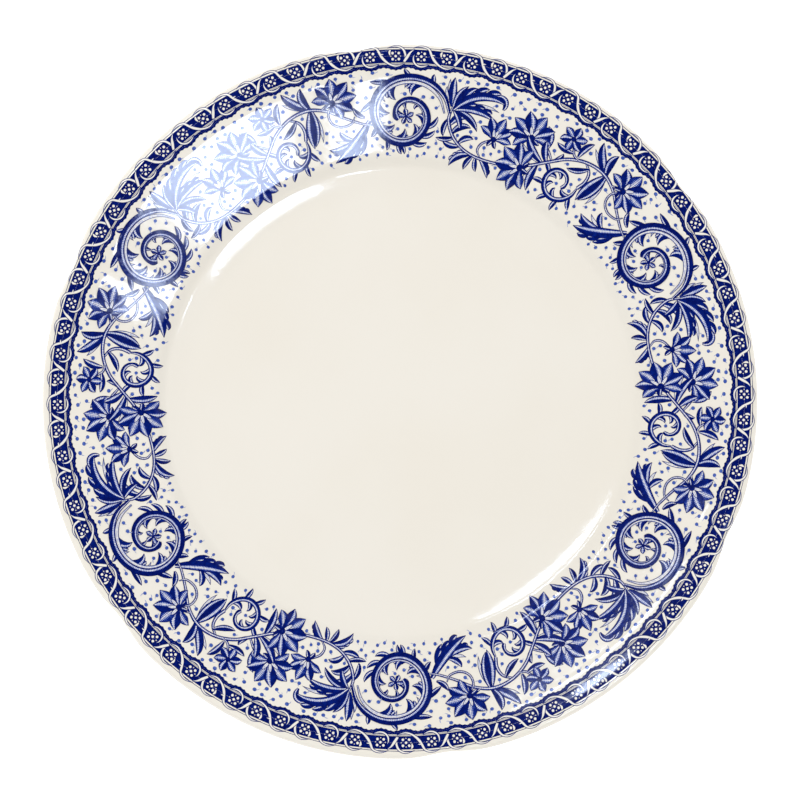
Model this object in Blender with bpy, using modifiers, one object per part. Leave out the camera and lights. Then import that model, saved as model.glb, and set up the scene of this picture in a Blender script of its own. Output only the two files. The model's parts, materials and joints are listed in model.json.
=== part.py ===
"""China dinner plate with a printed border, lying face up on its foot ring.

Z = 0 is the ring's bearing edge and the Z axis is the axis of turning. Each layer of the ware is its own
closed solid: the fired clay body, the printed tissues laid on its rim, the glaze coat that covers them
from the well over the lip to the foot ring, and the glaze in the recess inside the ring.
"""

import math

import bpy
from mathutils import Matrix, Vector

# Overall sizes, in metres
OUTER_RADIUS = 0.135  # axis to the edge at the middle of a lobe
HEIGHT = 0.0225  # bearing edge to the top of the lip

# Section of the wall, measured on the glazed surfaces
WELL_RADIUS = 0.077  # flat floor of the well
FLOOR_HEIGHT = 0.008  # floor of the well above the bearing edge
VERGE_WIDTH = 0.0165  # radial run of the bend between floor and rim
VERGE_RISE = 0.0049  # lift of the wall's middle across that bend
FLOOR_PULL = 0.0120  # how far the bend leaves the floor gently
RIM_PULL = 0.0036  # how far it runs on in the rim's direction
WELL_WALL = 0.0050  # thickness of the floor
LIP_WALL = 0.0036  # thickness at the edge

# Foot ring
FOOT_INSET = 0.0005  # middle of the ring inside the edge of the floor
FOOT_WIDTH = 0.0045  # glazed width at the toe
FOOT_DRAFT = 0.0008  # how much each side spreads from toe to root
BARE_TOE = 0.0010  # height of unglazed clay above the bearing edge

# Layers on the clay
GLAZE = 0.00025  # thickness of the glaze
TISSUE = 0.00015  # thickness of a printed layer
LAYER_GAP = 0.0003  # clearance between layers that touch

# Printed border
RIBBON_MARGIN = 0.0032  # plain edge outside the ribbon band
RIBBON_WIDTH = 0.0084  # radial width of the ribbon band
SCROLL_OVERLAP = 0.0050  # how far the scroll border reaches down the verge
SCROLL_REPEATS = 6  # tissues round the rim

# Pressed edge: six lobes with a shallow notch between each pair
LOBES = 6
NOTCH_DEPTH = 0.0015
NOTCH_SPREAD = math.radians(4.0)  # half width of a notch where it is 1/e deep
FIRST_NOTCH = math.radians(37.5)

# Fineness of the solids
TURN_STEPS = 96
VERGE_STEPS = 5
RIM_STEPS = 2
LIP_STEPS = 4
MERGE = 0.00001

# Sizes that follow from those above
RIM_RADIUS = WELL_RADIUS + VERGE_WIDTH
FOOT_RADIUS = WELL_RADIUS - FOOT_INSET
RECESS_HEIGHT = FLOOR_HEIGHT - WELL_WALL
CLAY_INSET = GLAZE + LAYER_GAP
PRINT_BED = TISSUE + LAYER_GAP
RIBBON_OUTER = OUTER_RADIUS - RIBBON_MARGIN
RIBBON_INNER = RIBBON_OUTER - RIBBON_WIDTH
SCROLL_OUTER = RIBBON_INNER - LAYER_GAP
SCROLL_INNER = RIM_RADIUS - SCROLL_OVERLAP

CLAY = ("fired_clay", (0.78, 0.73, 0.64), 0.70)
CREAM_GLAZE = ("cream_glaze", (0.90, 0.86, 0.78), 0.08)
COBALT_PRINT = ("cobalt_print", (0.01, 0.04, 0.26), 0.12)


def clear_scene():
    """Remove every object, so that the file holds only the plate."""
    for thing in list(bpy.data.objects):
        bpy.data.objects.remove(thing, do_unlink=True)


def material(finish):
    """A Principled material from a name, a colour and a roughness; none of the ware is metal."""
    name, colour, roughness = finish
    made = bpy.data.materials.get(name)
    if made is None:
        made = bpy.data.materials.new(name)
        made.use_nodes = True
        shader = made.node_tree.nodes["Principled BSDF"]
        shader.inputs["Base Color"].default_value = (*colour, 1.0)
        shader.inputs["Roughness"].default_value = roughness
        shader.inputs["Metallic"].default_value = 0.0
    return made


def mid_wall():
    """Stations along the middle of the wall from axis to lip: point, unit normal and half thickness."""
    floor = Vector((WELL_RADIUS, FLOOR_HEIGHT - WELL_WALL / 2))
    head = Vector((RIM_RADIUS, floor.y + VERGE_RISE))
    lip = Vector((OUTER_RADIUS - LIP_WALL / 2, HEIGHT - LIP_WALL / 2))
    level = Vector((1.0, 0.0))
    slope = (lip - head).normalized()
    rising = floor + level * FLOOR_PULL
    easing = head - slope * RIM_PULL

    line = [(Vector((0.0, floor.y)), level)]
    for step in range(VERGE_STEPS + 1):
        t = step / VERGE_STEPS
        u = 1 - t
        point = floor * u**3 + rising * 3 * u * u * t + easing * 3 * u * t * t + head * t**3
        along = (rising - floor) * u * u + (easing - rising) * 2 * u * t + (head - easing) * t * t
        line.append((point, along.normalized()))
    for step in range(1, RIM_STEPS + 1):
        line.append((head.lerp(lip, step / RIM_STEPS), slope))

    stations = []
    for point, along in line:
        share = max(0.0, (point.x - WELL_RADIUS) / (lip.x - WELL_RADIUS))
        half = (WELL_WALL + (LIP_WALL - WELL_WALL) * share) / 2
        stations.append((point, Vector((-along.y, along.x)), half))
    return stations


def front_line(inset, bed=0.0):
    """The front surface from axis to lip, sunk by inset all over and by bed more under the print."""
    line = []
    for point, normal, half in mid_wall():
        share = min(1.0, max(0.0, (point.x - WELL_RADIUS) / (SCROLL_INNER - WELL_RADIUS)))
        line.append(point + normal * (half - inset - bed * share))
    return line


def back_line(inset):
    """The back surface from lip to axis, sunk by inset."""
    return [point - normal * (half - inset) for point, normal, half in reversed(mid_wall())]


def lip_round(front, back):
    """The points of a half circle that joins the ends of the front and the back over the lip."""
    middle = (front + back) / 2
    arm = front - middle
    turns = [-math.pi * step / LIP_STEPS for step in range(1, LIP_STEPS)]
    return [middle + Matrix.Rotation(turn, 2) @ arm for turn in turns]


def height_at(line, radius):
    """Height of a line at a radius, straight between its points."""
    for near, far in zip(line, line[1:]):
        low, high = sorted((near, far), key=lambda point: point.x)
        if low.x <= radius <= high.x:
            return low.lerp(high, (radius - low.x) / (high.x - low.x)).y
    raise ValueError("the line does not reach that radius")


def foot_side(side, inset, root_height, toe_height):
    """Root and toe of one side of the foot ring: side is 1 outside and -1 inside."""
    toe = Vector((FOOT_RADIUS + side * (FOOT_WIDTH / 2 - inset), 0.0))
    root = Vector((toe.x + side * FOOT_DRAFT, root_height))
    return [root, toe.lerp(root, toe_height / root_height)]


def outside_line(inset, bed, toe_height):
    """From the middle of the well over the lip and down the outside of the foot ring."""
    front = front_line(inset, bed)
    back = back_line(inset)
    root_radius = FOOT_RADIUS + FOOT_WIDTH / 2 + FOOT_DRAFT - inset
    foot = foot_side(1, inset, height_at(back, root_radius), toe_height)
    shown_back = [point for point in back if point.x > root_radius]
    return front + lip_round(front[-1], back[0]) + shown_back + foot


def recess_line(inset, toe_height):
    """From the inside of the foot ring's toe up to the recess and in to the axis."""
    root, toe = foot_side(-1, inset, RECESS_HEIGHT + inset, toe_height)
    return [toe, root, Vector((0.0, root.y))]


def lobe_pull(radius, angle):
    """How far the pressed edge draws a point in: nothing at the verge, the whole notch at the lip."""
    pitch = 2 * math.pi / LOBES
    away = (angle - FIRST_NOTCH + pitch / 2) % pitch - pitch / 2
    share = min(1.0, max(0.0, (radius - RIM_RADIUS) / (OUTER_RADIUS - RIM_RADIUS)))
    easing = share * share * (3 - 2 * share)
    return NOTCH_DEPTH * easing * math.exp(-((away / NOTCH_SPREAD) ** 2))


def profile_object(name, line, closed, start_angle):
    """A mesh of edges in the plane at start_angle, ready to be turned about Z."""
    turn = Matrix.Rotation(start_angle, 3, "Z")
    points = [turn @ Vector((point.x, 0.0, point.y)) for point in line]
    edges = [(at, at + 1) for at in range(len(points) - 1)]
    if closed:
        edges.append((len(points) - 1, 0))
    mesh = bpy.data.meshes.new(name)
    mesh.from_pydata(points, edges, [])
    made = bpy.data.objects.new(name, mesh)
    bpy.data.collections["dinner_plate"].objects.link(made)
    return made


def add_turn(made, angle, steps):
    """Turn a profile about Z."""
    screw = made.modifiers.new("turn", "SCREW")
    screw.axis = "Z"
    screw.angle = angle
    screw.steps = steps
    screw.render_steps = steps
    screw.use_merge_vertices = True
    screw.merge_threshold = MERGE


def press_lobes(made):
    """Fix the modifiers into the mesh and draw its edge in at the notches."""
    depsgraph = bpy.context.evaluated_depsgraph_get()
    blank = made.data
    mesh = bpy.data.meshes.new_from_object(made.evaluated_get(depsgraph))
    made.modifiers.clear()
    made.data = mesh
    bpy.data.meshes.remove(blank)
    for vertex in mesh.vertices:
        radius = math.hypot(vertex.co.x, vertex.co.y)
        if radius > RIM_RADIUS:
            pull = lobe_pull(radius, math.atan2(vertex.co.y, vertex.co.x))
            vertex.co.x *= 1 - pull / radius
            vertex.co.y *= 1 - pull / radius
    mesh.name = made.name
    mesh.shade_smooth()
    mesh.set_sharp_from_angle(angle=math.radians(40))


def turned(name, line, finish, closed=False):
    """A full turned piece with the lobed edge."""
    made = profile_object(name, line, closed, 0.0)
    add_turn(made, 2 * math.pi, TURN_STEPS)
    made.data.materials.append(material(finish))
    press_lobes(made)
    return made


def make_body():
    """Fired clay: well, verge, rim and foot ring in one, bare only at the ring's toe."""
    line = outside_line(CLAY_INSET, PRINT_BED, 0.0) + recess_line(CLAY_INSET, 0.0)
    return turned("biscuit_body", line, CLAY)


def make_glaze_coat():
    """One coat from the well over the lip to the foot ring, stopping above the bare toe."""
    outer = outside_line(0.0, 0.0, BARE_TOE)
    inner = outside_line(GLAZE, 0.0, BARE_TOE)
    return turned("glaze_coat", outer + inner[::-1], CREAM_GLAZE)


def make_recess_glaze():
    """The disc of glaze inside the foot ring, turned down over the ring's inner side."""
    outer = recess_line(0.0, BARE_TOE)
    inner = recess_line(GLAZE, BARE_TOE)
    return turned("foot_recess_glaze", inner[::-1] + outer, CREAM_GLAZE)


def print_line(inner, outer, depth):
    """The front surface from one radius out to another, depth below the glazed surface."""
    line = front_line(depth)
    between = [point for point in line if inner < point.x < outer]
    ends = [Vector((radius, height_at(line, radius))) for radius in (inner, outer)]
    return [ends[0], *between, ends[1]]


def make_ribbon_print():
    """The closed band of print next to the lip."""
    top = print_line(RIBBON_INNER, RIBBON_OUTER, GLAZE + LAYER_GAP)
    bottom = print_line(RIBBON_INNER, RIBBON_OUTER, GLAZE + LAYER_GAP + TISSUE)
    return turned("ribbon_band_print", top + bottom[::-1], COBALT_PRINT, closed=True)


def make_scroll_print(number):
    """One of the tissues of scrolls and flowers that butt together round the rim."""
    pitch = 2 * math.pi / SCROLL_REPEATS
    joint = LAYER_GAP / SCROLL_INNER
    middle_depth = GLAZE + LAYER_GAP + TISSUE / 2
    steps = TURN_STEPS // SCROLL_REPEATS
    line = print_line(SCROLL_INNER, SCROLL_OUTER, middle_depth)[::-1]
    made = profile_object(f"scroll_print_{number}", line, False, number * pitch + joint / 2)
    add_turn(made, pitch - joint, steps)
    shell = made.modifiers.new("tissue", "SOLIDIFY")
    shell.thickness = TISSUE
    shell.offset = 0.0
    made.data.materials.append(material(COBALT_PRINT))
    press_lobes(made)
    return made


def make_plate():
    """Build every layer of the plate in its own collection."""
    clear_scene()
    plate = bpy.data.collections.new("dinner_plate")
    bpy.context.scene.collection.children.link(plate)
    make_body()
    make_ribbon_print()
    for number in range(1, SCROLL_REPEATS + 1):
        make_scroll_print(number)
    make_glaze_coat()
    make_recess_glaze()


make_plate()
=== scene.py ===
"""Glazed china dinner plate with a cobalt print border, made over its CAD frame.

The glaze, the clay and the foot are surfaces of revolution with a lobed edge. The border is drawn on an
unrolled sheet in millimetres, x clockwise along the border's middle and y from the axis, and laid on the
glaze like a transfer: every stroke is a thin strip that follows the surface.
"""

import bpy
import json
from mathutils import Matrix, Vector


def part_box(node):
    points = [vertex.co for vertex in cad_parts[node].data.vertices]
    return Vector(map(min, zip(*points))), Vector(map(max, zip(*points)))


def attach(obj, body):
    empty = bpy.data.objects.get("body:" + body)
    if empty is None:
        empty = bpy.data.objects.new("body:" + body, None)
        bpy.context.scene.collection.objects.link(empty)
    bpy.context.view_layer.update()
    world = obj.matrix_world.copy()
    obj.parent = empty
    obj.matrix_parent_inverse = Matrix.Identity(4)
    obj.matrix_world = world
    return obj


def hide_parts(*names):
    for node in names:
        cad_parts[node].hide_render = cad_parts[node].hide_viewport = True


bl_info = {
    "name": "Printed dinner plate",
    "version": (1, 0, 0),
    "blender": (4, 5, 0),
    "location": "View3D > Sidebar > Plate",
    "description": "Builds a glazed dinner plate with a scroll and ribbon border",
    "category": "Add Mesh",
}

import json
import math
from collections import namedtuple

import bpy
import numpy as np
from bpy.props import FloatProperty, FloatVectorProperty, IntProperty, PointerProperty

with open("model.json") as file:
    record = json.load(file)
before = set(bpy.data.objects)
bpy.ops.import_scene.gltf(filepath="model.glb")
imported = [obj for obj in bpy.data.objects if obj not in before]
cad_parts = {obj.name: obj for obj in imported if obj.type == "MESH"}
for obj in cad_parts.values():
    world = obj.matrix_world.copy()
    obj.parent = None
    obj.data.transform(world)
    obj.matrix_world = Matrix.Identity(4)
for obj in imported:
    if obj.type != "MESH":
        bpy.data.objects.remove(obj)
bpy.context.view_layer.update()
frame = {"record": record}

MM = 0.001
SCROLL_REPEATS = 6
ROUNDELS = 84
PLATE_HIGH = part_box("glaze_coat")[1]
MOUNTS = {mount["name"]: mount["pos_m"] for mount in frame["record"]["mounts"]}

# Section of the ware in millimetres, on the glazed surfaces
OUTER = PLATE_HIGH.x / MM
TOP = PLATE_HIGH.z / MM - 0.1  # leaves room for the print over the lip
FLOOR = MOUNTS["well_floor"][2] / MM
FOOT = MOUNTS["foot_ring"][0] / MM
WELL = 77.0  # flat floor of the well
STEEP_START, STEEP_END = 88.0, 95.4  # quick rise from well to rim
LIP_SLOPE = 0.39
# Radius and slope of the front without the quick rise: well, its soft edge, rim, strip under the ribbon
SLOPES = (
    (WELL, 0.0), (81.0, 0.10), (83.8, 0.174), (88.3, 0.209), (95.6, 0.238),
    (122.4, 0.238), (123.0, 0.30), (129.0, 0.332), (133.0, LIP_SLOPE),
)
FLOOR_WALL = 5.0
LIP_WALL = 3.6
GLAZE = 0.25
FOOT_HALF = 2.25  # half the foot ring's width at its toe
FOOT_DRAFT = 0.8  # how much each side widens from toe to root
FILLET = 1.2  # run of the fillets at the foot ring's root
RECESS = 3.0
BARE_TOE = 1.0  # height up to which the foot ring has no glaze

# Pressed edge
LOBES = 6
NOTCH_SPREAD = 4.0  # degrees
FIRST_NOTCH = 37.5
LOBE_START = 93.5

# Unrolled sheet
UNROLL = 1.8675  # millimetres in a degree at the middle of the border
GRAIN = 0.5  # spacing of the points along a stroke
THINNEST = 0.03  # least half width of a stroke
WIDEST_STRIP = 0.6  # greatest spacing of the points across a stroke
PRINT_LIFT = 0.045  # first layer of print above the glaze
LAYER_LIFT = 0.006  # each further layer
PRINT_MARGIN = 0.15  # least distance from the print to the edge


def smoothstep(low, high, value):
    """0 below low, 1 above high, and 3t^2 - 2t^3 between them."""
    t = np.clip((value - low) / (high - low), 0.0, 1.0)
    return t * t * (3 - 2 * t)


# ---- section of the ware


def front_table():
    """Radius and height of the front, height being the running sum of the slope.

    Slope = straight lines between the stops of SLOPES, plus sine squared over the quick rise, as high as it
    takes to meet the lip, which is a half circle.
    """
    radius = np.linspace(0.0, OUTER, 5401)
    even = np.interp(radius, *np.transpose(SLOPES))
    share = np.clip((radius - STEEP_START) / (STEEP_END - STEEP_START), 0.0, 1.0)
    hump = np.sin(np.pi * share) ** 2
    step = radius[1] - radius[0]
    tilt = math.atan(LIP_SLOPE)
    half = LIP_WALL / 2
    last = OUTER - half - half * math.sin(tilt)
    rise = TOP - half + half * math.cos(tilt) - FLOOR
    before = radius <= last
    steepness = (rise - even[before].sum() * step) / (hump[before].sum() * step)
    height = FLOOR + np.cumsum(even + steepness * hump) * step
    beyond = radius > last
    squared = np.clip(half**2 - (radius[beyond] - (OUTER - half)) ** 2, 0.0, None)
    height[beyond] = TOP - half + np.sqrt(squared)
    return radius, height, last


FRONT_RADIUS, FRONT_HEIGHT, FRONT_END = front_table()


def wall_at(radius):
    """Thickness of the wall, even in the well and thinning evenly to the lip."""
    share = np.clip((radius - WELL) / (OUTER - LIP_WALL / 2 - WELL), 0.0, 1.0)
    return FLOOR_WALL + (LIP_WALL - FLOOR_WALL) * share


def arc(centre, radius, start, end, count):
    """Points on a circle from one angle to another, in degrees."""
    turn = np.radians(np.linspace(start, end, count))
    return np.stack([centre[0] + radius * np.cos(turn), centre[1] + radius * np.sin(turn)], 1)


def fillet(start, corner, end):
    """Points on the curve (1 - t)^2 start + 2 t (1 - t) corner + t^2 end, for t from 0 to 1."""
    share = np.linspace(0.0, 1.0, 7)[:, None]
    return start * (1 - share) ** 2 + 2 * corner * share * (1 - share) + end * share**2


def outside_section(inset):
    """From the axis over the lip to the foot ring's outer side, sunk by inset; radius and height."""
    well = np.linspace(0.0, WELL - 1, 16)
    bends = np.linspace(WELL, STEEP_END + 1, 50)
    rim = np.linspace(STEEP_END + 2, FRONT_END, 38)
    radius = np.concatenate([well, bends, rim])
    height = np.interp(radius, FRONT_RADIUS, FRONT_HEIGHT)
    slope = np.interp(radius, FRONT_RADIUS, np.gradient(FRONT_HEIGHT, FRONT_RADIUS))
    slope[-1] = LIP_SLOPE
    length = np.sqrt(1 + slope**2)
    normal = np.stack([-slope / length, 1 / length], 1)
    line = np.stack([radius, height], 1)
    front = line - normal * inset
    tilt = math.degrees(math.atan(LIP_SLOPE))
    centre = (OUTER - LIP_WALL / 2, TOP - LIP_WALL / 2)
    lip = arc(centre, LIP_WALL / 2 - inset, 90 + tilt, tilt - 90, 15)[1:-1]
    back = (line - normal * (wall_at(radius)[:, None] - inset))[::-1]
    root = FOOT + FOOT_HALF + FOOT_DRAFT - inset
    back = back[back[:, 0] > root + FILLET]
    toe = FOOT + FOOT_HALF - inset
    base = np.interp(root, back[::-1, 0], back[::-1, 1])
    corner = np.array([root, base])
    side = np.array([toe + FOOT_DRAFT * BARE_TOE / base, BARE_TOE])
    along = (side - corner) / np.linalg.norm(side - corner)
    return np.concatenate([front, lip, back[:-1], fillet(back[-1], corner, corner + along), [side]])


def recess_section(inset):
    """From the foot ring's inner side up into the recess and in to the axis, sunk by inset."""
    toe = FOOT - FOOT_HALF + inset
    root = toe - FOOT_DRAFT
    side = np.array([toe - FOOT_DRAFT * BARE_TOE / RECESS, BARE_TOE])
    corner = np.array([root, RECESS + inset])
    end = corner - np.array([FILLET, 0.0])
    radius = np.linspace(end[0], 0.0, 12)[1:]
    ceiling = np.stack([radius, np.full_like(radius, corner[1])], 1)
    return np.concatenate([[side], fillet(corner + (side - corner) * 0.5, corner, end), ceiling])


def lobe_pull(radius, turn):
    """How far the pressed edge draws a point in: a bell of the turn round each notch, growing outwards."""
    pitch = 360.0 / LOBES
    away = (turn - FIRST_NOTCH + pitch / 2) % pitch - pitch / 2
    return plate().notch / MM * smoothstep(LOBE_START, OUTER, radius) * np.exp(-((away / NOTCH_SPREAD) ** 2))


def glaze_height(x, y):
    """Height of the glazed front at points in millimetres, with the lobes: the pull is undone first."""
    radius = np.hypot(x, y)
    turn = np.degrees(np.arctan2(y, x))
    pressed = radius
    for _ in range(4):
        pressed = radius + lobe_pull(pressed, turn)
    return np.interp(pressed, FRONT_RADIUS, FRONT_HEIGHT)


def glaze_normal(x, y):
    """Unit normal of the glazed front: the height's slopes along x and y, by central differences."""
    reach = 0.05
    slope_x = (glaze_height(x + reach, y) - glaze_height(x - reach, y)) / (2 * reach)
    slope_y = (glaze_height(x, y + reach) - glaze_height(x, y - reach)) / (2 * reach)
    normal = np.stack([-slope_x, -slope_y, np.ones_like(slope_x)], -1)
    return normal / np.linalg.norm(normal, axis=-1, keepdims=True)


# ---- meshes


def grid_faces(rows, columns):
    """Quads of a grid of points numbered row by row, each turned the same way."""
    row, column = np.mgrid[0 : rows - 1, 0 : columns - 1]
    first = (row * columns + column).ravel()
    return np.stack([first, first + columns, first + columns + 1, first + 1], 1)


def ring_faces(rings, steps):
    """Quads between rings of points numbered ring by ring, each ring closed."""
    column = np.arange(steps)
    ahead = (column + 1) % steps
    first = np.arange(rings - 1)[:, None] * steps
    after = first + steps
    return np.stack([first + column, after + column, after + ahead, first + ahead], -1).reshape(-1, 4)


def placed(name, data):
    """A new object in the scene."""
    made = bpy.data.objects.new(name, data)
    bpy.context.scene.collection.objects.link(made)
    return made


def new_piece(name, points, faces, finish, nodes):
    """A mesh object from arrays in metres, riding on the root body in place of CAD nodes."""
    mesh = bpy.data.meshes.new(name)
    mesh.from_pydata(points, [], faces)
    mesh.materials.append(finish)
    mesh.shade_smooth()
    made = placed(name, mesh)
    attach(made, "root")
    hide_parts(*nodes)
    return made


def add_bake_map(mesh, uv):
    """A map of the surface for patterns to be baked to, one pair of numbers for each corner."""
    layer = mesh.uv_layers.new(name="OFBake")
    layer.data.foreach_set("uv", uv.astype(np.float32).ravel())


def corner_points(mesh):
    """The number of the point at each corner of each face."""
    corners = np.zeros(len(mesh.loops), np.int32)
    mesh.loops.foreach_get("vertex_index", corners)
    return corners


def turned(name, section, finish, nodes):
    """A surface of revolution: the section at each turn, its radius less the lobes' pull, poles closed."""
    steps = plate().turn_steps
    turn = np.linspace(0.0, 360.0, steps, endpoint=False)
    poles = [row for row in (0, len(section) - 1) if section[row, 0] < 1e-9]
    ring = np.array([row for row in range(len(section)) if row not in poles])
    radius = section[ring, 0][:, None]
    height = np.broadcast_to(section[ring, 1][:, None], (len(ring), steps))
    radius = radius - lobe_pull(radius, turn[None, :])
    around = np.radians(turn)
    grid = np.stack([radius * np.cos(around), radius * np.sin(around), height], -1).reshape(-1, 3)

    column = np.arange(steps)
    ahead = (column + 1) % steps
    faces = ring_faces(len(ring), steps).tolist()
    points = [grid]
    for pole in poles:
        tip = len(grid) + len(points) - 1
        edge, second, third = (0, column, ahead) if pole == 0 else ((len(ring) - 1) * steps, ahead, column)
        faces += np.stack([np.full(steps, tip), edge + second, edge + third], 1).tolist()
        points.append(np.array([[0.0, 0.0, section[pole, 1]]]))
    points = np.concatenate(points)
    made = new_piece(name, points * MM, faces, finish, nodes)

    # Faces that look up go to the left half of the map, the others to the right half
    mesh = made.data
    totals = np.array([len(face) for face in faces])
    facing = np.zeros(len(mesh.polygons) * 3, np.float32)
    mesh.polygons.foreach_get("normal", facing)
    below = np.repeat(facing.reshape(-1, 3)[:, 2] < 0, totals)
    place = points[corner_points(mesh), :2] / OUTER
    uv = np.stack([0.25 + 0.24 * place[:, 0] + 0.5 * below, 0.5 + 0.48 * place[:, 1]], 1)
    add_bake_map(mesh, uv)
    return made


# ---- drawing

# Strength of the fill, place and width of the light streak as shares of the half width, strength of the
# fine lines in the streak, and width of the dark rim in millimetres
Ink = namedtuple("Ink", "fill light_at light_width lines rim")
DARK = Ink(0.95, 0.4, 0.34, 0.3, 0.28)
LEAF = Ink(0.9, -0.34, 0.42, 0.4, 0.28)
PETAL = Ink(0.76, -0.1, 0.56, 1.0, 0.3)
PALE = Ink(0.1, 0.0, 0.9, 0.6, 0.24)
STEM = Ink(0.85, -0.1, 0.5, 0.0, 0.24)
NAVY, DOT, WISP, CREAM, STRAND = (
    Ink(fill, 0.0, 0.01, 0.0, rim) for fill, rim in ((0.95, 0.3), (0.5, 0.04), (0.26, 0), (0, 0), (0, 0.24))
)

Shape = namedtuple("Shape", "x y span half along faces ink")
FIELDS = ("span", "half", "along", *Ink._fields)  # stored on the print's points


def smooth_line(points):
    """A curve through points, on each stretch the cubic whose end slopes are half the neighbours' chord."""
    knots = np.array(points, float)
    before = 2 * knots[:1] - knots[1:2]
    after = 2 * knots[-1:] - knots[-2:-1]
    knots = np.concatenate([before, knots, after])
    count = max(3, int(np.ceil(np.linalg.norm(np.diff(knots[:, :2], axis=0), axis=1).max() / GRAIN)))
    t = np.linspace(0.0, 1.0, count, endpoint=False)[None, :, None]
    a, b, c, d = (knots[k : len(knots) - 3 + k][:, None, :] for k in range(4))
    curve = b + 0.5 * t * (c - a + t * (2 * a - 5 * b + 4 * c - d + t * (3 * (b - c) + d - a)))
    return np.concatenate([curve.reshape(-1, knots.shape[1]), knots[-2:-1]])


class Sheet:
    """Shapes of one repeat in the order they are laid, later ones over earlier ones."""

    def __init__(self, pitch):
        self.pitch = pitch
        self.shapes = []

    def stroke(self, points, ink):
        """A strip along a curve through points, each with its x, y and half width.

        Position = curve + the curve's normal x span x half width, with span from -1 to 1.
        """
        line = smooth_line(points)
        half = np.clip(line[:, 2], THINNEST, None)
        course = np.gradient(line[:, :2], axis=0)
        course /= np.linalg.norm(course, axis=1, keepdims=True)
        across = max(3, 2 * int(np.ceil(half.max() / WIDEST_STRIP)) + 1)
        span = np.linspace(-1.0, 1.0, across)
        x = line[:, 0, None] - course[:, 1, None] * half[:, None] * span
        y = line[:, 1, None] + course[:, 0, None] * half[:, None] * span
        steps = np.linalg.norm(np.diff(line[:, :2], axis=0), axis=1)
        along = np.concatenate([[0.0], np.cumsum(steps)])
        shape = (len(line), across)
        fields = [np.broadcast_to(values, shape) for values in (span, half[:, None], along[:, None])]
        self.add(x, y, *fields, grid_faces(*shape), ink)

    def disc(self, x, y, wide, ink, tall=None, sides=10):
        """A round or oval spot: the middle, one ring at two thirds and one at the edge."""
        tall = wide if tall is None else tall
        turn = np.linspace(0.0, 2 * np.pi, sides, endpoint=False)
        share = np.array([0.02, 0.66, 1.0])[:, None]
        place_x = x + wide * share * np.cos(turn)
        place_y = y + tall * share * np.sin(turn)
        span = np.broadcast_to(share, place_x.shape)
        half = np.full_like(span, min(wide, tall))
        self.add(place_x, place_y, span, half, span * 0, ring_faces(3, sides), ink)

    def add(self, x, y, span, half, along, faces, ink):
        """Keep a shape's points, faces and ink."""
        fields = [values.ravel() for values in (x, y, span, half, along)]
        self.shapes.append(Shape(*fields, faces, ink))

    def levels(self):
        """One layer above whatever the shape overlaps, by the boxes round the shapes."""
        period = self.pitch * UNROLL
        box = np.array([(s.x.min(), s.x.max(), s.y.min(), s.y.max()) for s in self.shapes])
        level = np.zeros(len(box), int)
        for at in range(1, len(box)):
            x0, x1, y0, y1 = box[at]
            tall = (box[:at, 2] < y1) & (box[:at, 3] > y0)
            wide = np.zeros(at, bool)
            for shift in (-period, 0.0, period):
                wide |= (box[:at, 0] + shift < x1) & (box[:at, 1] + shift > x0)
            under = level[:at][tall & wide]
            level[at] = under.max() + 1 if len(under) else 0
        return level


def lay_print(name, sheet, turns, first_level, nodes, finish):
    """Lay a sheet's shapes on the glaze, once for each turn in degrees, and make one piece of them."""
    levels = sheet.levels() + first_level
    rows, faces, total = [], [], 0
    for shape, level in zip(sheet.shapes, levels):
        lift = PRINT_LIFT + LAYER_LIFT * level
        place = (shape.x / UNROLL, shape.y, lift, shape.span, shape.half, shape.along)
        rows.append(np.stack(np.broadcast_arrays(*place, *shape.ink)))
        faces.append(shape.faces + total)
        total += len(shape.x)
    rows = np.concatenate(rows, 1)
    faces = np.concatenate(faces)
    count = len(turns)
    clockwise = (rows[0] + np.array(turns)[:, None]).ravel()
    radius = np.tile(rows[1], count)
    lift = np.tile(rows[2], count)
    faces = (faces[None, :, :] + (np.arange(count) * total)[:, None, None]).reshape(-1, 4)

    x = radius * np.sin(np.radians(clockwise)) + plate().print_shift[0] / MM
    y = radius * np.cos(np.radians(clockwise)) + plate().print_shift[1] / MM
    limit = OUTER - PRINT_MARGIN - lobe_pull(OUTER, np.degrees(np.arctan2(y, x)))
    inside = np.minimum(1.0, limit / np.hypot(x, y))
    x, y = x * inside, y * inside
    normal = glaze_normal(x, y)
    points = np.stack([x, y, glaze_height(x, y)], 1) + normal * lift[:, None]
    a, b, c, d = (points[faces[:, corner]] for corner in range(4))
    under = np.cross(c - a, d - b)[:, 2] < 0
    faces[under] = faces[under][:, ::-1]
    made = new_piece(name, points * MM, faces.tolist(), finish, nodes)
    mesh = made.data
    for field, values in zip(FIELDS, rows[3:]):
        attribute = mesh.attributes.new(field, "FLOAT", "POINT")
        attribute.data.foreach_set("value", np.tile(values, count).astype(np.float32))
    mesh.normals_split_custom_set_from_vertices(normal.tolist())

    middle = np.radians((clockwise.min() + clockwise.max()) / 2)
    around = points[:, 0] * np.cos(middle) - points[:, 1] * np.sin(middle)
    out = points[:, 0] * np.sin(middle) + points[:, 1] * np.cos(middle)
    uv = np.stack([around - around.min(), out - out.min()], 1)
    uv = 0.005 + 0.99 * uv / uv.max()
    add_bake_map(mesh, uv[corner_points(mesh)])
    return made


# ---- motifs of the scroll border

Spiral = namedtuple("Spiral", "middle size shrink start sweep")


def along_spiral(spiral, turn):
    """A point of a spiral whose reach falls evenly with its turn, and its heading there, in degrees."""
    share = (np.asarray(turn, float) - spiral.start) / spiral.sweep
    reach = spiral.size * (1 - (1 - spiral.shrink) * share)
    x = spiral.middle[0] + reach * np.cos(np.radians(turn))
    y = spiral.middle[1] + reach * np.sin(np.radians(turn))
    return x, y, turn + math.copysign(90.0, spiral.sweep)


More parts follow.
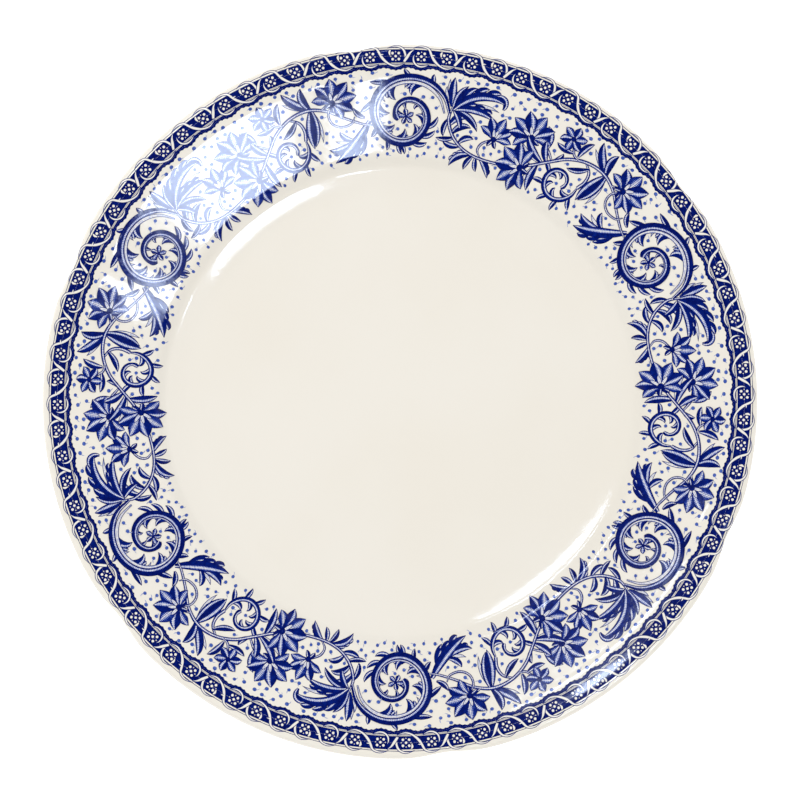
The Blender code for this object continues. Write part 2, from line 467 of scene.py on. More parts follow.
def wind(sheet, spiral, half, ink, reach=0.0):
    """A band along a spiral, or beside it by reach, that swells after its start and ends in a knob."""
    share = np.linspace(0.0, 1.0, max(8, int(abs(spiral.sweep) / 22)))
    beside = spiral._replace(size=spiral.size + reach)
    x, y, _ = along_spiral(beside, spiral.start + spiral.sweep * share)
    swell = np.interp(share, (0.0, 0.1, 0.45, 0.9, 0.96, 1.0), (0.35, 0.9, 1.0, 0.6, 0.85, 0.5))
    sheet.stroke(np.stack([x, y, half * swell], 1), ink)


def rib(root, heading, length, bend, share):
    """Points at shares of a leaf's rib, and its headings there: heading + bend x share^1.4."""
    count = 24
    steps = np.linspace(0.0, 1.0, count + 1)
    turn = np.radians(heading + bend * steps**1.4)
    x = root[0] + length * np.concatenate([[0.0], np.cumsum(np.cos(turn[1:]))]) / count
    y = root[1] + length * np.concatenate([[0.0], np.cumsum(np.sin(turn[1:]))]) / count
    return np.interp(share, steps, x), np.interp(share, steps, y), heading + bend * share**1.4


PETAL_INKS = (PETAL, LEAF)  # by turns
# Share of the length, and half width there as a share of the leaf's width
LEAF_SWELL = ((0.0, 0.35), (0.25, 0.85), (0.5, 1.0), (0.72, 0.86), (0.88, 0.52), (1.0, 0.05))
PETAL_SWELL = ((0.0, 0.35), (0.25, 0.62), (0.5, 0.95), (0.66, 1.0), (0.84, 0.62), (1.0, 0.04))


def leaf(sheet, root, heading, length, width, bend, ink, swell=LEAF_SWELL):
    """A leaf or petal along a rib that turns by bend degrees; its half width is width x swell."""
    share = np.linspace(0.0, 1.0, 7)
    x, y, _ = rib(root, heading, length, bend, share)
    sheet.stroke(np.stack([x, y, width * np.interp(share, *np.transpose(swell))], 1), ink)


def leaves(sheet, rows):
    """Plain leaves, each row with a root, heading, length, width, bend and ink."""
    for row in rows:
        leaf(sheet, *row)


def lobed_leaf(sheet, root, heading, length, width, bend, ink):
    """A leaf with three lobes on its outer side, each leaning away from the rib and curling after it."""
    side = math.copysign(1.0, bend)
    for share in (0.22, 0.42, 0.62):
        x, y, along = rib(root, heading, length, bend, share)
        leaf(sheet, (x, y), along - side * 40, length * (0.42 - 0.22 * share), width * 0.72, side * 62, LEAF)
    leaf(sheet, root, heading, length, width, bend, ink)


def side_leaves(sheet, spiral, turns, lean, length, width, bend, ink, kind=leaf):
    """Leaves that branch from a spiral, leaning off its course and bending on, shorter as it winds in."""
    for turn in turns:
        x, y, heading = along_spiral(spiral, turn)
        size = 1 - 0.35 * (turn - spiral.start) / spiral.sweep
        kind(sheet, (x, y), heading + lean, length * size, width * size, bend, ink)


def flower(sheet, middle, size, facing, spread, petals):
    """A flower from the side: petals fanned over a spread, the middle ones longest and on top, and an eye."""
    for turn in (facing + 150, facing + 210):
        leaf(sheet, middle, turn, size * 0.4, size * 0.1, 30, DARK)
    gap = math.radians(spread / (petals - 1))
    share = np.linspace(-1.0, 1.0, petals)
    for at in sorted(share, key=abs, reverse=True):
        turn = facing + spread / 2 * at
        number = int(round((at + 1) * (petals - 1) / 2))
        length = size * (0.98 - 0.2 * at * at)
        width = length * min(0.24, gap * 0.42)
        leaf(sheet, middle, turn, length, width, 34 * at, PETAL_INKS[number % 2], PETAL_SWELL)
    for at in (-0.45, 0.0, 0.45):
        leaf(sheet, middle, facing + spread / 2 * at, size * 0.45, size * 0.075, 0, PALE)
    sheet.disc(*middle, 0.12 * size, NAVY)


def rosette(sheet, middle, size, petals):
    """A small flower seen from the front: petals all round and an eye."""
    for number in range(petals):
        turn = 20 + 360 * number / petals
        leaf(sheet, middle, turn, size, size * 0.3, 24, PETAL_INKS[number % 2], PETAL_SWELL)
    sheet.disc(*middle, 0.2 * size, NAVY)


def great_scroll(sheet):
    """The round acanthus scroll: a spiral band with leaves on both sides and a rosette at its heart."""
    spiral = Spiral((2.0, 107.6), 16.2, 0.2, 8.0, 560.0)
    for row in (
        ((282, 306, 330), -40, 8.6, 1.3, 66, LEAF), ((196, 226, 256), -30, 5.8, 1.15, -46, DARK),
        ((252,), -70, 5.6, 1.2, 40, LEAF), ((112, 150), -18, 8.0, 1.2, -14, DARK),
        ((84, 52), -34, 4.2, 0.9, -30, LEAF), (range(66, 340, 50), 10, 9.0, 0.7, 96, PALE),
        (range(52, 360, 44), 14, 11.5, 1.6, 126, LEAF, lobed_leaf),
        ((396, 446, 500), 40, 5.4, 1.0, 110, LEAF),
    ):
        side_leaves(sheet, spiral, *row)
    wind(sheet, spiral, 0.9, PALE, -1.9)
    wind(sheet, spiral, 1.5, DARK)
    rosette(sheet, (2.0, 107.3), 3.2, 5)


def frond(sheet):
    """A fan of long leaves and a slim bud at the root of the great scroll."""
    root = (19.2, 111.6)
    leaves(sheet, (
        ((18.0, 113.5), 130, 7.0, 0.6, -48, PALE), ((18.2, 114.0), 112, 9.0, 0.65, -26, PALE),
        ((18.5, 112.5), 98, 11.0, 1.5, -12, LEAF), ((36.4, 116.0), 70, 7.4, 1.15, 150, LEAF),
        (root, -44, 8.0, 1.2, -40, LEAF), (root, -8, 12.5, 1.35, -52, DARK), (root, 86, 10.5, 1.3, -40, DARK),
        (root, 30, 17.0, 0.8, -44, PALE), (root, 66, 12.5, 0.75, -56, PALE),
    ))
    lobed_leaf(sheet, root, 18, 16.0, 1.5, -46, LEAF)
    lobed_leaf(sheet, root, 54, 20.5, 1.75, -78, LEAF)


def stem_leaves(sheet):
    """Comma leaves inside the stem's bend, and leaves below its trough."""
    leaves(sheet, (
        ((18.8, 105.6), 66, 9.0, 1.45, -84, LEAF), ((20.2, 102.6), 62, 8.4, 1.35, -80, DARK),
        ((23.4, 99.4), 60, 7.0, 1.2, -76, LEAF), ((17.9, 107.8), 240, 7.0, 1.1, 50, DARK),
        ((29.8, 96.3), 172, 9.6, 0.75, 60, PALE), ((30.6, 96.0), 226, 6.2, 1.2, 46, DARK),
        ((32.0, 96.2), 272, 5.6, 1.15, 40, LEAF), ((24.2, 98.6), 196, 7.6, 1.15, -54, LEAF),
        ((21.6, 101.4), 205, 7.8, 1.05, -40, DARK),
    ))
    lobed_leaf(sheet, (29.5, 96.4), 186, 10.5, 1.4, 66, LEAF)
    lobed_leaf(sheet, (33.4, 96.5), 330, 9.0, 1.3, -36, LEAF)


def bell_flower(sheet):
    """A half-open flower on a bent stem above the trough."""
    sheet.stroke([(33.6, 96.6, 0.3), (31.8, 98.8, 0.5), (32.6, 101.6, 0.55), (35.6, 104.0, 0.4)], STEM)
    flower(sheet, (36.6, 104.6), 9.2, 78.0, 118.0, 5)


def open_flower(sheet):
    """The largest flower, on the stem, facing back along it."""
    flower(sheet, (50.6, 98.8), 10.8, 190.0, 200.0, 7)


def upper_flower(sheet):
    """A flower between the stem and the edge, facing up and back."""
    sheet.stroke([(60.4, 106.8, 0.4), (57.0, 109.6, 0.6), (54.0, 110.6, 0.6), (50.6, 110.8, 0.4)], STEM)
    leaf(sheet, (56.6, 110.2), 96, 8.4, 1.4, 44, LEAF)
    flower(sheet, (49.6, 110.8), 10.0, 116.0, 190.0, 7)


def rosette_spray(sheet):
    """A rosette and two leaves that fill the corner between the stem and the edge."""
    sheet.stroke([(68.4, 112.8, 0.35), (66.0, 113.4, 0.5), (64.2, 116.0, 0.4)], STEM)
    leaf(sheet, (65.4, 113.8), 196, 7.0, 1.15, -40, LEAF)
    leaf(sheet, (67.6, 113.6), 92, 8.0, 1.2, -40, LEAF)
    rosette(sheet, (62.8, 118.2), 5.0, 6)


def lower_volute(sheet):
    """A tendril that hangs from the crest and winds in, leafed on both sides."""
    spiral = Spiral((67.0, 101.8), 7.8, 0.32, 18.0, -410.0)
    sheet.stroke([(71.0, 113.8, 0.4), (74.2, 111.4, 0.6), (75.2, 107.8, 0.7), (74.4, 104.2, 0.75)], STEM)
    for row in (
        ((-14, -52, -92), 30, 5.6, 1.1, 46), ((-140, -186), 34, 6.4, 1.2, 50),
        (range(-10, -227, -54), -30, 6.0, 1.05, -120),
    ):
        side_leaves(sheet, spiral, *row, LEAF)
    wind(sheet, spiral, 1.1, LEAF)
    leaf(sheet, (73.4, 112.4), 232, 8.6, 1.2, -44, DARK)


def middle_leaves(sheet):
    """Leaves on the rising stem between the two large flowers."""
    leaves(sheet, (
        ((57.0, 104.0), 178, 10.5, 0.8, -44, PALE), ((57.4, 104.4), 164, 12.0, 1.5, -46, LEAF),
        ((58.8, 105.4), 136, 8.4, 1.4, -44, LEAF), ((55.8, 102.6), 248, 9.8, 0.8, 30, PALE),
        ((56.2, 103.0), 262, 10.8, 1.6, 34, LEAF), ((60.6, 107.0), 40, 5.4, 1.0, 60, DARK),
    ))


def leaf_fan(sheet):
    """Long leaves that spread from the stem's crest."""
    root = (79.6, 114.6)
    leaves(sheet, (
        (root, 158, 10.5, 0.8, -22, PALE), (root, 148, 12.4, 1.6, -40, LEAF),
        (root, 122, 9.4, 1.5, -56, DARK), (root, 238, 11.5, 0.8, 34, PALE),
        (root, 250, 14.6, 1.8, 20, LEAF), (root, 290, 13.2, 0.8, -34, PALE),
        (root, 276, 14.0, 1.7, -34, DARK),
    ))


def lobed_flower(sheet):
    """A flower right of the crest, with a tendril under it."""
    sheet.stroke([
        (88.2, 115.4, 0.3), (85.4, 111.4, 0.45), (86.0, 107.6, 0.5), (89.2, 105.6, 0.5),
        (93.2, 106.2, 0.45), (94.8, 108.6, 0.2),
    ], STEM)
    sheet.stroke([(83.4, 113.6, 0.35), (85.6, 114.8, 0.45), (88.0, 116.0, 0.4)], STEM)
    flower(sheet, (87.6, 115.2), 9.4, 46.0, 204.0, 7)


def acanthus_spray(sheet):
    """Long leaves that sweep down to the left from where the stem meets the next scroll."""
    leaf(sheet, (98.6, 107.6), 158, 6.0, 1.1, -60, DARK)
    leaf(sheet, (93.6, 100.6), 204, 8.6, 0.75, -60, PALE)
    leaf(sheet, (92.6, 100.0), 168, 6.6, 1.25, -70, LEAF)
    lobed_leaf(sheet, (93.0, 99.6), 214, 11.5, 1.5, -62, LEAF)
    leaf(sheet, (97.6, 102.6), 268, 9.4, 1.3, -44, LEAF)
    lobed_leaf(sheet, (100.2, 106.4), 236, 22.0, 2.1, -40, LEAF)


def main_stem(sheet):
    """The running stem: down from the scroll's root, along its trough, over its crest to the next scroll."""
    sheet.stroke([
        (18.8, 112.4, 0.35), (18.1, 107.5, 0.65), (20.6, 102.0, 0.7), (25.2, 98.2, 0.62), (31.5, 96.3, 0.6),
        (39.0, 96.3, 0.6), (46.5, 97.8, 0.62), (53.5, 101.2, 0.66), (59.5, 106.0, 0.66), (65.0, 110.8, 0.68),
        (71.5, 114.0, 0.68), (78.5, 114.8, 0.75), (85.0, 112.6, 0.6), (91.0, 108.6, 0.55),
        (97.0, 105.6, 0.5), (101.6, 104.4, 0.3),
    ], STEM)


DOT_SEED, DOT_TRIES = 11, 3200
DOTS_INNER, DOTS_OUTER = 92.4, 124.0
DOT_CLEARANCE = 1.05


def scatter_dots(sheet):
    """Spots with a wisp each in the free ground, no closer than a clearance to any shape or each other."""
    rng = np.random.default_rng(DOT_SEED)
    period = sheet.pitch * UNROLL
    edge = np.concatenate([np.stack([s.x, s.y], 1) for s in sheet.shapes])
    edge = np.concatenate([edge + (shift, 0.0) for shift in (-period, 0.0, period)])
    kept = []
    for spot in rng.uniform((-12.0, DOTS_INNER), (-12.0 + period, DOTS_OUTER), (DOT_TRIES, 2)):
        if np.hypot(*(edge - spot).T).min() < DOT_CLEARANCE:
            continue
        near = [np.hypot((spot[0] - x + period / 2) % period - period / 2, spot[1] - y) for x, y in kept]
        if near and min(near) < plate().dot_spacing / MM:
            continue
        kept.append(spot)
    for spot in kept:
        leaf(sheet, spot, rng.uniform(0.0, 360.0), rng.uniform(1.2, 2.2), 0.14, 70, WISP)
        sheet.disc(*spot, rng.uniform(0.6, 0.72), DOT)


def scroll_sheet():
    """All the motifs of one repeat."""
    sheet = Sheet(360.0 / SCROLL_REPEATS)
    for motif in (
        stem_leaves, frond, bell_flower, upper_flower, lower_volute, middle_leaves, leaf_fan, acanthus_spray,
        main_stem, rosette_spray, lobed_flower, open_flower, great_scroll, scatter_dots,
    ):
        motif(sheet)
    return sheet


# ---- ribbon band

ROUNDEL_RADIUS = 129.65
FIRST_ROUNDEL = 3.42  # degrees clockwise
GROUND_INNER, GROUND_OUTER = 127.2, 132.15
GUIDE = 132.75
HAIRLINE = 126.9
SCALLOP_OUTER = 126.6
SCALLOP_MIDDLE = 124.7


def band(sheet, outer, inner):
    """A closed dark strip round the plate, from a radius in to another that may be a function of the turn."""
    turn = np.linspace(0.0, 360.0, ROUNDELS * 40 + 1)
    low = inner(turn) if callable(inner) else np.full_like(turn, inner)
    across = max(3, 2 * int(np.ceil((outer - low).max() / (2 * WIDEST_STRIP))) + 1)
    span = np.linspace(-1.0, 1.0, across)
    half = (outer - low)[:, None] / 2
    y = (outer + low)[:, None] / 2 + half * span
    x = np.broadcast_to(turn[:, None] * UNROLL, y.shape)
    span, half = (np.broadcast_to(values, y.shape) for values in (span, half))
    sheet.add(x, y, span, half, x, grid_faces(*y.shape), NAVY)


def scallops(turn):
    """Inner edge of the dark strip: lowest under each roundel, with five small bites to a roundel."""
    phase = 2 * np.pi * (turn - FIRST_ROUNDEL) * ROUNDELS / 360.0
    return SCALLOP_MIDDLE - 0.45 * np.cos(phase) + 0.34 * np.abs(np.sin(phase * 2.5))


def ribbon_grounds():
    """The bands that run all the way round: guide lines, the ground and the scalloped strip."""
    sheet = Sheet(360.0)
    band(sheet, GUIDE + 0.1, GUIDE - 0.1)
    band(sheet, GROUND_OUTER, GROUND_INNER)
    band(sheet, HAIRLINE + 0.07, HAIRLINE - 0.07)
    band(sheet, SCALLOP_OUTER, scallops)
    return sheet


def quatrefoil(sheet, x, scale):
    """Cream spots on the roundel: one in the middle, four round it and four small ones between."""
    spots = [(0.0, 0.0, 0.5)]
    spots += [(1.18 * a, 1.1 * b, 0.52) for a in (-1, 1) for b in (-1, 1)]
    spots += [(0.0, 1.6, 0.2), (0.0, -1.6, 0.2), (1.85, 0.0, 0.2), (-1.85, 0.0, 0.2)]
    for along, out, size in spots:
        sheet.disc((x + along) * scale, ROUNDEL_RADIUS + out, size * scale, CREAM, tall=size, sides=8)


def ribbon_pair():
    """Two roundels with the strands that wind over and under the band between them.

    The strands' points are millimetres along the roundels' circle from the first one, radius and half width.
    """
    scale = UNROLL / math.radians(ROUNDEL_RADIUS)
    pitch = math.radians(360.0 / ROUNDELS) * ROUNDEL_RADIUS
    sheet = Sheet(720.0 / ROUNDELS)
    strands = [
        [(-2.2, 131.0, 0.12), (-3.0, 129.2, 0.36), (-2.6, 127.3, 0.48), (-1.0, 126.1, 0.48),
         (1.0, 126.0, 0.42), (3.2, 126.9, 0.2)],
        [(-3.2, 132.6, 0.1), (0.0, 133.3, 0.42), (2.6, 132.5, 0.5), (3.7, 130.6, 0.56), (4.9, 128.7, 0.62),
         (7.0, 126.9, 0.52), (9.9, 126.0, 0.44), (13.2, 126.9, 0.2)],
        [(4.1, 130.3, 0.5), (5.0, 130.4, 0.3), (5.6, 129.9, 0.05)],
        [(6.6, 132.6, 0.1), (9.9, 133.3, 0.42), (12.3, 132.3, 0.5), (13.3, 130.3, 0.52), (13.3, 128.6, 0.4),
         (12.9, 127.5, 0.15)],
        [(12.9, 127.6, 0.56), (14.1, 129.4, 0.64), (15.3, 131.1, 0.46), (16.8, 132.2, 0.2)],
    ]
    for strand in strands:
        sheet.stroke([(x * scale, radius, half) for x, radius, half in strand], STRAND)
    dash = [(7.5, 130.0, 0.12), (7.35, 131.1, 0.32), (7.7, 131.9, 0.15)]
    sheet.stroke([(x * scale, radius, half) for x, radius, half in dash], CREAM)
    quatrefoil(sheet, 0.0, scale)
    quatrefoil(sheet, pitch, scale)
    return sheet


# ---- materials


class Wire:
    """A socket that takes arithmetic: each operator adds a Math node to the same tree."""

    def __init__(self, tree, socket):
        self.tree = tree
        self.socket = socket

    def math(self, operation, *others, clamp=False):
        """A Math node on this socket and others, which may be numbers."""
        node = self.tree.nodes.new("ShaderNodeMath")
        node.operation = operation
        node.use_clamp = clamp
        for entry, value in zip(node.inputs, (self, *others)):
            plug(self.tree, entry, value)
        return Wire(self.tree, node.outputs[0])

    def __add__(self, other):
        return self.math("ADD", other)

    def __mul__(self, other):
        return self.math("MULTIPLY", other)

    def __sub__(self, other):
        return self.math("SUBTRACT", other)

    def __rsub__(self, other):
        return (self * -1.0) + other

    def __truediv__(self, other):
        return self.math("DIVIDE", other)

    __radd__ = __add__
    __rmul__ = __mul__

    def between(self, low, high):
        """0 below low and 1 above high, smoothly."""
        node = self.tree.nodes.new("ShaderNodeMapRange")
        node.interpolation_type = "SMOOTHSTEP"
        for entry, value in zip(node.inputs, (self, low, high, 0.0, 1.0)):
            plug(self.tree, entry, value)
        return Wire(self.tree, node.outputs[0])


def plug(tree, entry, value):
    """Link a wire to an input, or set the input to a plain value."""
    if isinstance(value, Wire):
        tree.links.new(value.socket, entry)
    else:
        entry.default_value = value


class Finish:
    """A material's node tree and its Principled shader."""

    def __init__(self, name, roughness):
        self.material = bpy.data.materials.new(name)
        self.material.use_nodes = True
        self.tree = self.material.node_tree
        self.shader = self.tree.nodes["Principled BSDF"]
        self.shader.inputs["Roughness"].default_value = roughness
        self.shader.inputs["IOR"].default_value = 1.5

    def node(self, kind, settings=None, output=0, **inputs):
        """A node of any kind, its settings put first and then the values or wires of its sockets."""
        made = self.tree.nodes.new(kind)
        for key, value in (settings or {}).items():
            if key == "stops":
                fill_ramp(made.color_ramp, value)
            else:
                setattr(made, key, value)
        for key, value in inputs.items():
            plug(self.tree, made.inputs[key.replace("_", " ")], value)
        return Wire(self.tree, made.outputs[output])

    def attribute(self, name):
        """A number stored on the mesh's points."""
        return self.node("ShaderNodeAttribute", {"attribute_name": name}, output="Fac")

    def place(self):
        """The point's place on the object, in metres."""
        return self.node("ShaderNodeTexCoord", output="Object")

    def noise(self, scale, detail=2.0, roughness=0.5):
        """Fractal noise from 0 to 1 with scale features to the metre."""
        sockets = {"Vector": self.place(), "Scale": scale, "Detail": detail, "Roughness": roughness}
        return self.node("ShaderNodeTexNoise", output="Fac", **sockets)

    def mix(self, share, first, second):
        """One colour turned into another by a share."""
        made = self.tree.nodes.new("ShaderNodeMix")
        made.data_type = "RGBA"
        for entry, value in zip((made.inputs[0], made.inputs[6], made.inputs[7]), (share, first, second)):
            plug(self.tree, entry, value)
        return Wire(self.tree, made.outputs[2])

    def set(self, **inputs):
        """Connect or set the Principled shader's sockets."""
        for key, value in inputs.items():
            plug(self.tree, self.shader.inputs[key.replace("_", " ")], value)

    def bump(self, height, distance, strength=1.0):
        """The normal tilted by a height field."""
        sockets = {"Height": height, "Distance": distance, "Strength": strength}
        return self.node("ShaderNodeBump", output="Normal", **sockets)


def fill_ramp(ramp, stops):
    """Set a ramp's stops, each a place and a colour."""
    while len(ramp.elements) < len(stops):
        ramp.elements.new(0.5)
    for element, (place, colour) in zip(ramp.elements, stops):
        element.position = place
        element.color = (*colour, 1.0)


def glaze_skin(finish):
    """Gloss of the glaze: a slow ripple left by dipping, and a roughness that wavers a little."""
    ripple = finish.noise(70.0) * 0.8 + finish.noise(320.0) * 0.2
    finish.set(Roughness=finish.noise(45.0, 3.0) * 0.05 + 0.045, Normal=finish.bump(ripple, 0.00006))


def cream_glaze():
    """Cream glaze with faint clouds of a deeper, warmer tone and fine brown pinholes."""
    finish = Finish("dipped_glaze", 0.07)
    cream = plate().cream
    warm = (cream[0] * 0.97, cream[1] * 0.955, cream[2] * 0.925, 1.0)
    clouds = finish.noise(16.0, 3.0).between(0.35, 0.75)
    body = finish.mix(clouds * 0.5, (*cream, 1.0), warm)
    cells = finish.node("ShaderNodeTexVoronoi", Vector=finish.place(), Scale=85.0, output="Distance")
    rare = finish.noise(37.0, 0.0).between(0.62, 0.66)
    specks = (1.0 - cells.between(0.012, 0.03)) * rare
    finish.set(Base_Color=finish.mix(specks * 0.6, body, (0.30, 0.20, 0.12, 1.0)))
    glaze_skin(finish)
    return finish.material


def fired_clay():
    """Bare fired clay: fine grains, slightly stained, and matt."""
    finish = Finish("bare_clay", 0.75)
    grain = finish.noise(2600.0, 3.0, 0.6)
    stain = finish.noise(60.0, 3.0).between(0.4, 0.7)
    base = finish.mix(stain * 0.6, (0.72, 0.66, 0.56, 1.0), (0.56, 0.48, 0.38, 1.0))
    finish.set(
        Base_Color=finish.mix(grain.between(0.6, 0.75) * 0.4, base, (0.42, 0.35, 0.27, 1.0)),
        Roughness=grain * 0.2 + 0.62,
        Normal=finish.bump(grain, 0.00008, 0.6),
    )
    return finish.material


def wave(length, pitch):
    """Cosine of a length, from -1 to 1, with a crest every pitch millimetres."""
    return (length * (2 * math.pi / pitch)).math("COSINE")


def cobalt_print():
    """Cobalt ink under the glaze: a dark rim to each shape, an engraved light streak and mottled fill."""
    finish = Finish("ink_under_glaze", 0.07)
    span, half, along, fill, light_at, light_width, lines, rim = map(finish.attribute, FIELDS)
    edge = (1.0 - span.math("ABSOLUTE")) * half
    away = (span - light_at).math("ABSOLUTE") / light_width
    streak = 1.0 - (away + wave(along, 0.62) * 0.22).between(0.2, 1.0)
    rows = wave(span * half, 0.52).between(0.1, 0.8)
    beads = wave(along, 0.95).between(-0.6, 0.6)
    lines = rows * lines * (beads * 0.45 + 0.55)
    mottle = finish.noise(900.0) - 0.5
    tone = fill - fill * streak * (1.0 - lines * 0.75) * 0.95 + lines * (1.0 - fill) * 0.5
    tone = tone + mottle * 0.5 * fill.between(0.02, 0.1)
    outline = 1.0 - (edge / (rim + 0.001)).between(0.6, 1.1)
    tone = tone.math("MAXIMUM", outline, clamp=True)
    cream = plate().cream
    navy = plate().navy
    stops = [
        (0.0, cream),
        (0.2, (0.38, 0.42, 0.64)),
        (0.45, (0.065, 0.125, 0.44)),
        (0.78, (navy[0], navy[1] * 1.3, navy[2] * 1.25)),
        (1.0, (navy[0] * 0.6, navy[1] * 0.4, navy[2] * 0.6)),
    ]
    finish.set(Base_Color=finish.node("ShaderNodeValToRGB", {"stops": stops}, Fac=tone, output="Color"))
    glaze_skin(finish)
    return finish.material


def matt_floor():
    """Plain white paper, faintly glowing so that the plate's own shade stays light."""
    finish = Finish("studio_floor", 0.9)
    fibre = finish.noise(140.0, 3.0)
    finish.set(
        Base_Color=finish.mix(fibre * 0.04, (0.9, 0.9, 0.9, 1.0), (0.86, 0.86, 0.86, 1.0)),
        Emission_Color=(1.0, 1.0, 1.0, 1.0),
        Emission_Strength=0.35,
        Specular_IOR_Level=0.0,
    )
    return finish.material


# ---- add-on


def amount(name, description, default, kind=FloatProperty, **more):
    """A setting that shows in the panel."""
    return kind(name=name, description=description, default=default, **more)


class PlateSettings(bpy.types.PropertyGroup):
    """Sizes and colours of the plate."""

    notch: amount("Notch depth", "How far the edge is pressed in between two lobes", 0.0015, unit="LENGTH")
    print_shift: amount(
        "Print shift", "How far the print's middle lies off the axis", (0.00033, 0.0008), FloatVectorProperty,
        size=2, unit="LENGTH",
    )
    dot_spacing: amount("Dot spacing", "Least distance between two dots of the ground", 0.0026, unit="LENGTH")
    turn_steps: amount("Turn steps", "Facets round the axis", 360, IntProperty, min=96)
    cream: amount(
        "Glaze colour", "Cream of the glazed body", (0.80, 0.765, 0.695), FloatVectorProperty, subtype="COLOR"
    )
    navy: amount(
        "Print colour", "Cobalt blue of the solid print", (0.0004, 0.010, 0.155), FloatVectorProperty,
        subtype="COLOR",
    )


class StageSettings(bpy.types.PropertyGroup):
    """Camera and light."""

    camera_height: amount("Camera height", "Camera above the lip", 1.5, unit="LENGTH")
    view_width: amount("View width", "Width seen at the lip's height", 0.3018, unit="LENGTH")
    sky: amount("Sky", "Brightness of the light from all round", 0.72)
    top_light: amount("Top light", "Radiance of the soft light overhead", 1.4)
    key_light: amount("Key light", "Radiance of the soft light at the left", 3.0)
    window: amount("Window", "Radiance of the panes seen in the glaze", 17.0)


def plate():
    """The plate's settings."""
    return bpy.context.scene.china_plate


def stage():
    """The stage's settings."""
    return bpy.context.scene.china_stage


class CHINA_OT_glaze(bpy.types.Operator):
    """Turn the glaze coat over the plate and the glaze in the foot's recess"""

    bl_idname = "china.glaze"
    bl_label = "Glaze"

    def execute(self, context):
        finish = cream_glaze()
        hem = np.array([(0.02, -0.12), (0.12, -0.19), (0.26, -0.16), (0.34, 0.0)])
        coat = outside_section(0.0)
        section = np.concatenate([coat, coat[-1] + hem * (-1.0, 1.0)])
        turned("glaze", section, finish, ["glaze_coat"])
        recess = recess_section(0.0)
        section = np.concatenate([recess[0] + hem[::-1], recess])
        turned("recess_glaze", section, finish, ["foot_recess_glaze"])
        return {"FINISHED"}


class CHINA_OT_clay(bpy.types.Operator):
    """Turn the fired clay body, which shows only at the foot ring's bearing edge"""

    bl_idname = "china.clay"
    bl_label = "Clay"

    def execute(self, context):
        outside = outside_section(GLAZE)
        recess = recess_section(GLAZE)
        low = FOOT + FOOT_HALF - GLAZE
        inner = FOOT - FOOT_HALF + GLAZE
        rounding = 0.5
        toe = np.concatenate([
            arc((low - rounding, rounding), rounding, 0.0, -90.0, 6),
            arc((inner + rounding, rounding), rounding, -90.0, -180.0, 6),
        ])
        section = np.concatenate([outside, toe, recess])
        turned("clay_body", section, fired_clay(), ["biscuit_body"])
        return {"FINISHED"}


class CHINA_OT_ribbon(bpy.types.Operator):
    """Print the ribbon band with its roundels next to the edge"""

    bl_idname = "china.ribbon"
    bl_label = "Ribbon band"

    def execute(self, context):
        finish = shared_ink()
        lay_print("ribbon_grounds", ribbon_grounds(), [0.0], 0, ["ribbon_band_print"], finish)
        turns = [FIRST_ROUNDEL + 720.0 / ROUNDELS * number for number in range(ROUNDELS // 2)]
        lay_print("ribbon_strands", ribbon_pair(), turns, 3, ["ribbon_band_print"], finish)
        return {"FINISHED"}


class CHINA_OT_scrolls(bpy.types.Operator):
    """Print the six repeats of scrolls and flowers"""

    bl_idname = "china.scrolls"
    bl_label = "Scroll border"

    def execute(self, context):
        sheet = scroll_sheet()
        for number in range(SCROLL_REPEATS):
            nodes = [f"scroll_print_{number + 1}"]
            lay_print(f"scrolls_{number + 1}", sheet, [sheet.pitch * number], 0, nodes, shared_ink())
        return {"FINISHED"}


def shared_ink():
    """The ink, made once."""
    return bpy.data.materials.get("ink_under_glaze") or cobalt_print()


WINDOW_HEIGHT = 1.1  # metres
NEAR_SIDE, FAR_SIDE = 142.0, 318.0  # clockwise azimuths of the windows, in degrees
CAMERA_OFFSET = 0.0006  # metres up the picture from the axis
FLOOR_DROP = 0.00003  # metres from the foot down to the floor


def pane(name, azimuth, distance, height, size, radiance, aside=0.0, shape="RECTANGLE"):
    """A level area light: clockwise azimuth in degrees, distance from the axis and shift aside in metres."""
    lamp = bpy.data.lights.new(name, "AREA")
    lamp.shape = shape
    lamp.size, lamp.size_y = size
    lamp.energy = radiance * math.pi * size[0] * size[1]
    made = placed(name, lamp)
    turn = math.radians(azimuth)
    across = (math.cos(turn), -math.sin(turn))
    out = (math.sin(turn), math.cos(turn))
    made.location = (distance * out[0] + aside * across[0], distance * out[1] + aside * across[1], height)
    made.rotation_euler = (0.0, 0.0, -turn)
    made.visible_camera = False
    return made


def soft_light(*place):
    """A light that shades but isn't seen in the glaze."""
    pane(*place).visible_glossy = False


def window(name, azimuth, distance, size, share=1.0, **more):
    """A cool bright light that is only seen in the glaze, at a share of the windows' radiance."""
    made = pane(name, azimuth, distance, WINDOW_HEIGHT, size, stage().window * share, **more)
    made.visible_diffuse = False
    made.data.color = (0.86, 1.0, 1.25)


def sky():
    """Even light from all round, with a darker ceiling in the reflections."""
    world = bpy.data.worlds.new("studio")
    bpy.context.scene.world = world
    world.use_nodes = True
    tree = world.node_tree
    background = tree.nodes["Background"]
    background.inputs["Color"].default_value = (1.0, 1.0, 1.0, 1.0)
    path = tree.nodes.new("ShaderNodeLightPath")
    place = tree.nodes.new("ShaderNodeTexCoord")
    split = tree.nodes.new("ShaderNodeSeparateXYZ")
    tree.links.new(place.outputs["Generated"], split.inputs[0])
    ceiling = Wire(tree, split.outputs["Z"]).between(0.15, 0.85)
    reflected = 0.75 - ceiling * 0.72
    glossy, seen = (Wire(tree, path.outputs[ray]) for ray in ("Is Glossy Ray", "Is Camera Ray"))
    strength = glossy * reflected + (1.0 - glossy) * stage().sky
    plug(tree, background.inputs["Strength"], seen * 1.1 + (1.0 - seen) * strength)


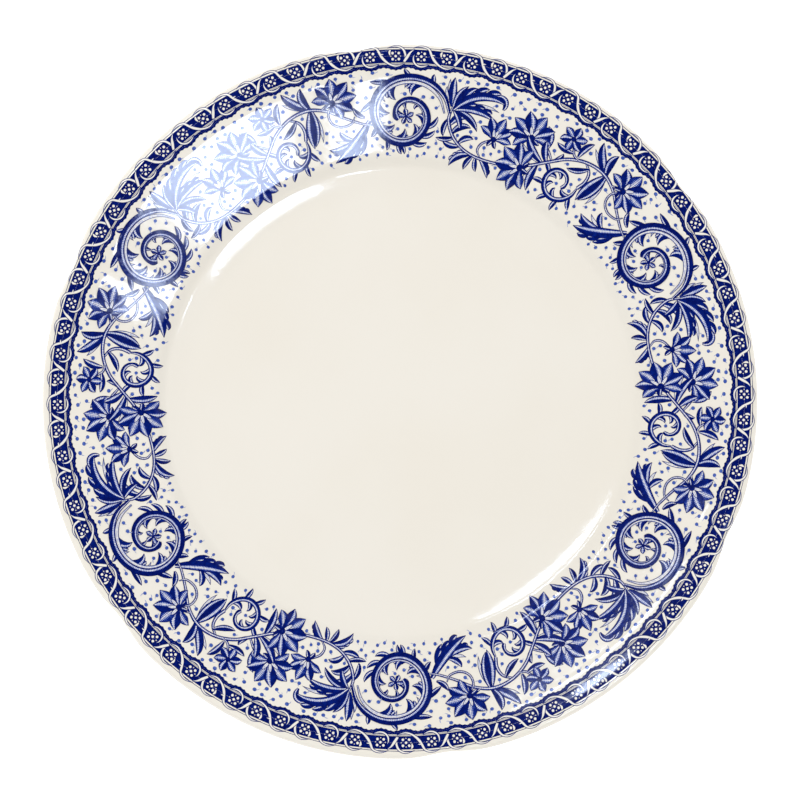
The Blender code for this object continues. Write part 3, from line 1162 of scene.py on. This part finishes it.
class CHINA_OT_stage(bpy.types.Operator):
    """Set the floor, the camera and the lights"""

    bl_idname = "china.stage"
    bl_label = "Stage"

    def execute(self, context):
        settings = stage()
        across = np.linspace(-4.0, 4.0, 9)
        x, y = np.meshgrid(across, across, indexing="ij")
        points = np.stack([x, y, np.full_like(x, -FLOOR_DROP)], -1).reshape(-1, 3)
        mesh = bpy.data.meshes.new("floor")
        mesh.from_pydata(points, [], grid_faces(9, 9).tolist())
        mesh.materials.append(matt_floor())
        placed("floor", mesh)

        lens = bpy.data.cameras.new("camera")
        lens.sensor_width = 36.0
        lens.lens = lens.sensor_width * settings.camera_height / settings.view_width
        lens.clip_start = 0.01
        camera = placed("camera", lens)
        camera.location = (0.0, CAMERA_OFFSET, TOP * MM + settings.camera_height)
        context.scene.camera = camera

        sky()
        soft_light("top_light", 0.0, 0.0, 2.0, (1.8, 1.8), settings.top_light)
        soft_light("key_light", -45.0, 1.2, 1.7, (1.0, 1.0), settings.key_light)
        window("window_left", NEAR_SIDE, 0.3435, (0.03, 0.087), aside=-0.177)
        window("window_middle", NEAR_SIDE, 0.3205, (0.17, 0.133), aside=0.004)
        window("window_right", NEAR_SIDE, 0.3435, (0.05, 0.087), aside=0.172)
        window("far_window", FAR_SIDE, 0.284, (0.24, 0.044), share=0.6, shape="ELLIPSE")
        window("far_window_middle", FAR_SIDE, 0.435, (0.36, 0.05), share=0.7, shape="ELLIPSE")
        window("far_window_top", FAR_SIDE + 6.0, 0.545, (0.12, 0.05), share=1.2, shape="ELLIPSE")
        context.scene.view_settings.view_transform = "Standard"
        return {"FINISHED"}


class CHINA_PT_panel(bpy.types.Panel):
    """The plate's steps, in order"""

    bl_label = "Dinner plate"
    bl_idname = "CHINA_PT_panel"
    bl_space_type = "VIEW_3D"
    bl_region_type = "UI"
    bl_category = "Plate"

    def draw(self, context):
        layout = self.layout
        for settings in (plate(), stage()):
            for name in settings.__annotations__:
                layout.prop(settings, name)
        for step in STEPS:
            layout.operator(step)


STEPS = ("china.clay", "china.glaze", "china.ribbon", "china.scrolls", "china.stage")
CLASSES = (
    PlateSettings, StageSettings, CHINA_OT_clay, CHINA_OT_glaze, CHINA_OT_ribbon, CHINA_OT_scrolls,
    CHINA_OT_stage, CHINA_PT_panel,
)


def register():
    """Add the settings, the steps and the panel."""
    for made in CLASSES:
        bpy.utils.register_class(made)
    bpy.types.Scene.china_plate = PointerProperty(type=PlateSettings)
    bpy.types.Scene.china_stage = PointerProperty(type=StageSettings)


def unregister():
    """Take them away again."""
    del bpy.types.Scene.china_stage
    del bpy.types.Scene.china_plate
    for made in reversed(CLASSES):
        bpy.utils.unregister_class(made)


def main():
    """Build the plate on its stage."""
    register()
    bpy.ops.china.clay()
    bpy.ops.china.glaze()
    bpy.ops.china.ribbon()
    bpy.ops.china.scrolls()
    bpy.ops.china.stage()


if __name__ == "__main__":
    main()
